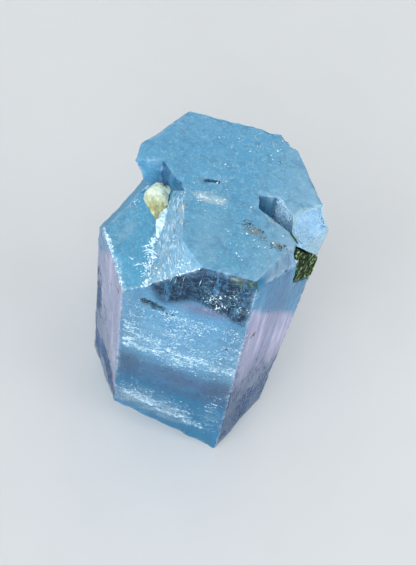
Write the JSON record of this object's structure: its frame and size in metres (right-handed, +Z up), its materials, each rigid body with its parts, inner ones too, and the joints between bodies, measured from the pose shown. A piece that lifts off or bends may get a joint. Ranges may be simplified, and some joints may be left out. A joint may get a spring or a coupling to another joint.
{
  "type": "aquamarine crystal",
  "caption": "Pale blue six-sided prism crystal standing on its broken foot, with a frosted flat top and a broken upper corner holding a feldspar grain.",
  "frame": {"origin": "middle of the outer box in plan, on the foot plane", "axes": "+Z up along the long axis of the prism, the broad front prism face looking towards -Y, +X to its right"},
  "size_m": [0.0401, 0.0342, 0.062],
  "materials": {
    "aquamarine": "clear pale blue with frosted ends",
    "feldspar": "dull, crumbly",
    "green_mica": "flaky, slightly pearly"
  },
  "bodies": {
    "root": {"aquamarine_crystal": "aquamarine", "feldspar_grain": "feldspar", "green_mica_patch": "green_mica"}
  },
  "joints": []
}
